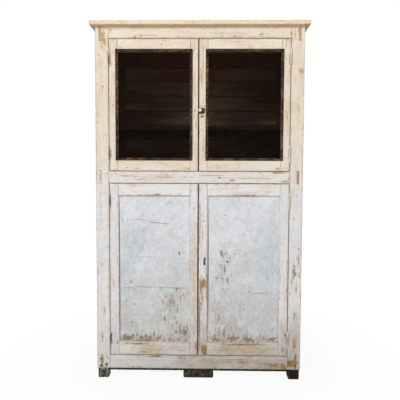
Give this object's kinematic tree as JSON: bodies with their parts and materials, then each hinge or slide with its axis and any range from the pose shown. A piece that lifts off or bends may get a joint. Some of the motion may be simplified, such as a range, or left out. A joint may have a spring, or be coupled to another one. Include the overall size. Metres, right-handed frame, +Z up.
{
  "type": "buffet hutch",
  "caption": "Tall two-part pantry cupboard: wire-screened double doors above, panelled double doors below, overhanging top board, block feet.",
  "frame": {"origin": "middle of the bounding box's base, on the floor", "axes": "+Z up, the doors face -Y, +X to the right seen from the front"},
  "size_m": [1.202, 0.5498, 1.993],
  "materials": {
    "painted_wood": "chipped cream and blue-white paint over pine",
    "worn_wood": "paint worn down to tan pine",
    "interior_wood": "unpainted, darkened with age",
    "dark_wood": "charcoal, weathered",
    "bead_wood": "dark brown, worn",
    "wire_cloth": "oxidised woven wire",
    "rusty_iron": "rusty, part painted over",
    "painted_iron": "painted over",
    "porcelain": "white glaze"
  },
  "bodies": {
    "case": {"front_post_left": "painted_wood", "front_post_right": "painted_wood", "rear_post_left": "interior_wood", "rear_post_right": "interior_wood", "top_rail": "painted_wood", "mid_rail": "painted_wood", "base_rail": "painted_wood", "side_rails_left": "painted_wood", "side_rails_right": "painted_wood", "side_panels_left": "painted_wood", "side_panels_right": "painted_wood", "back_rails": "interior_wood", "back_boards": "interior_wood", "top_board": "worn_wood", "floor_board": "interior_wood", "mid_deck": "interior_wood", "upper_shelf": "interior_wood", "lower_shelf": "interior_wood", "shelf_cleats": "interior_wood", "door_stops": "interior_wood", "base_batten": "dark_wood", "centre_block": "dark_wood", "front_feet": "dark_wood", "rear_feet": "dark_wood", "case_hinge_leaves": "rusty_iron", "hinge_pins": "rusty_iron"},
    "upper_left_door": {"upper_left_hinge_stile": "painted_wood", "upper_left_meeting_stile": "painted_wood", "upper_left_rails": "painted_wood", "upper_left_screen": "wire_cloth", "upper_left_beads": "bead_wood", "upper_left_hinge_leaves": "rusty_iron", "turn_keeper": "painted_iron", "upper_bolt_guides": "rusty_iron"},
    "upper_right_door": {"upper_right_hinge_stile": "painted_wood", "upper_right_meeting_stile": "painted_wood", "upper_right_rails": "painted_wood", "upper_right_screen": "wire_cloth", "upper_right_beads": "bead_wood", "upper_right_hinge_leaves": "rusty_iron", "turn_case": "rusty_iron"},
    "lower_left_door": {"lower_left_hinge_stile": "painted_wood", "lower_left_meeting_stile": "painted_wood", "lower_left_rails": "painted_wood", "lower_left_panel": "painted_wood", "lower_left_hinge_leaves": "rusty_iron", "lower_bolt_guides": "rusty_iron"},
    "lower_right_door": {"lower_right_hinge_stile": "painted_wood", "lower_right_meeting_stile": "painted_wood", "lower_right_rails": "painted_wood", "lower_right_panel": "painted_wood", "lower_right_hinge_leaves": "rusty_iron", "escutcheon": "painted_iron", "lock_case": "rusty_iron"},
    "cupboard_turn": {"turn_tongue": "rusty_iron", "porcelain_knob": "porcelain"},
    "lock_bolt": {"lock_bolt": "rusty_iron"},
    "upper_shoot_bolt": {"upper_shoot_bolt": "rusty_iron"},
    "lower_shoot_bolt": {"lower_shoot_bolt": "rusty_iron"}
  },
  "joints": [
    {"name": "upper_left_door_hinge", "type": "hinge", "parent": "case", "child": "upper_left_door", "pos_m": [-0.501, -0.24995, 1.5405], "axis": [0, 0, -1], "range_deg": [0, 170]},
    {"name": "upper_right_door_hinge", "type": "hinge", "parent": "case", "child": "upper_right_door", "pos_m": [0.501, -0.24995, 1.5405], "axis": [0, 0, 1], "range_deg": [0, 170]},
    {"name": "lower_left_door_hinge", "type": "hinge", "parent": "case", "child": "lower_left_door", "pos_m": [-0.501, -0.24995, 0.6225], "axis": [0, 0, -1], "range_deg": [0, 170]},
    {"name": "lower_right_door_hinge", "type": "hinge", "parent": "case", "child": "lower_right_door", "pos_m": [0.501, -0.24995, 0.6225], "axis": [0, 0, 1], "range_deg": [0, 170]},
    {"name": "cupboard_turn_spin", "type": "hinge", "parent": "upper_right_door", "child": "cupboard_turn", "pos_m": [0.005, -0.2485, 1.511], "axis": [0, 1, 0], "range_deg": [0, 90]},
    {"name": "lock_bolt_slide", "type": "slide", "parent": "lower_right_door", "child": "lock_bolt", "axis": [-1, 0, 0], "range_m": [0, 0.012]},
    {"name": "upper_shoot_bolt_slide", "type": "slide", "parent": "upper_left_door", "child": "upper_shoot_bolt", "axis": [0, 0, 1], "range_m": [0, 0.014]},
    {"name": "lower_shoot_bolt_slide", "type": "slide", "parent": "lower_left_door", "child": "lower_shoot_bolt", "axis": [0, 0, 1], "range_m": [0, 0.014]}
  ]
}
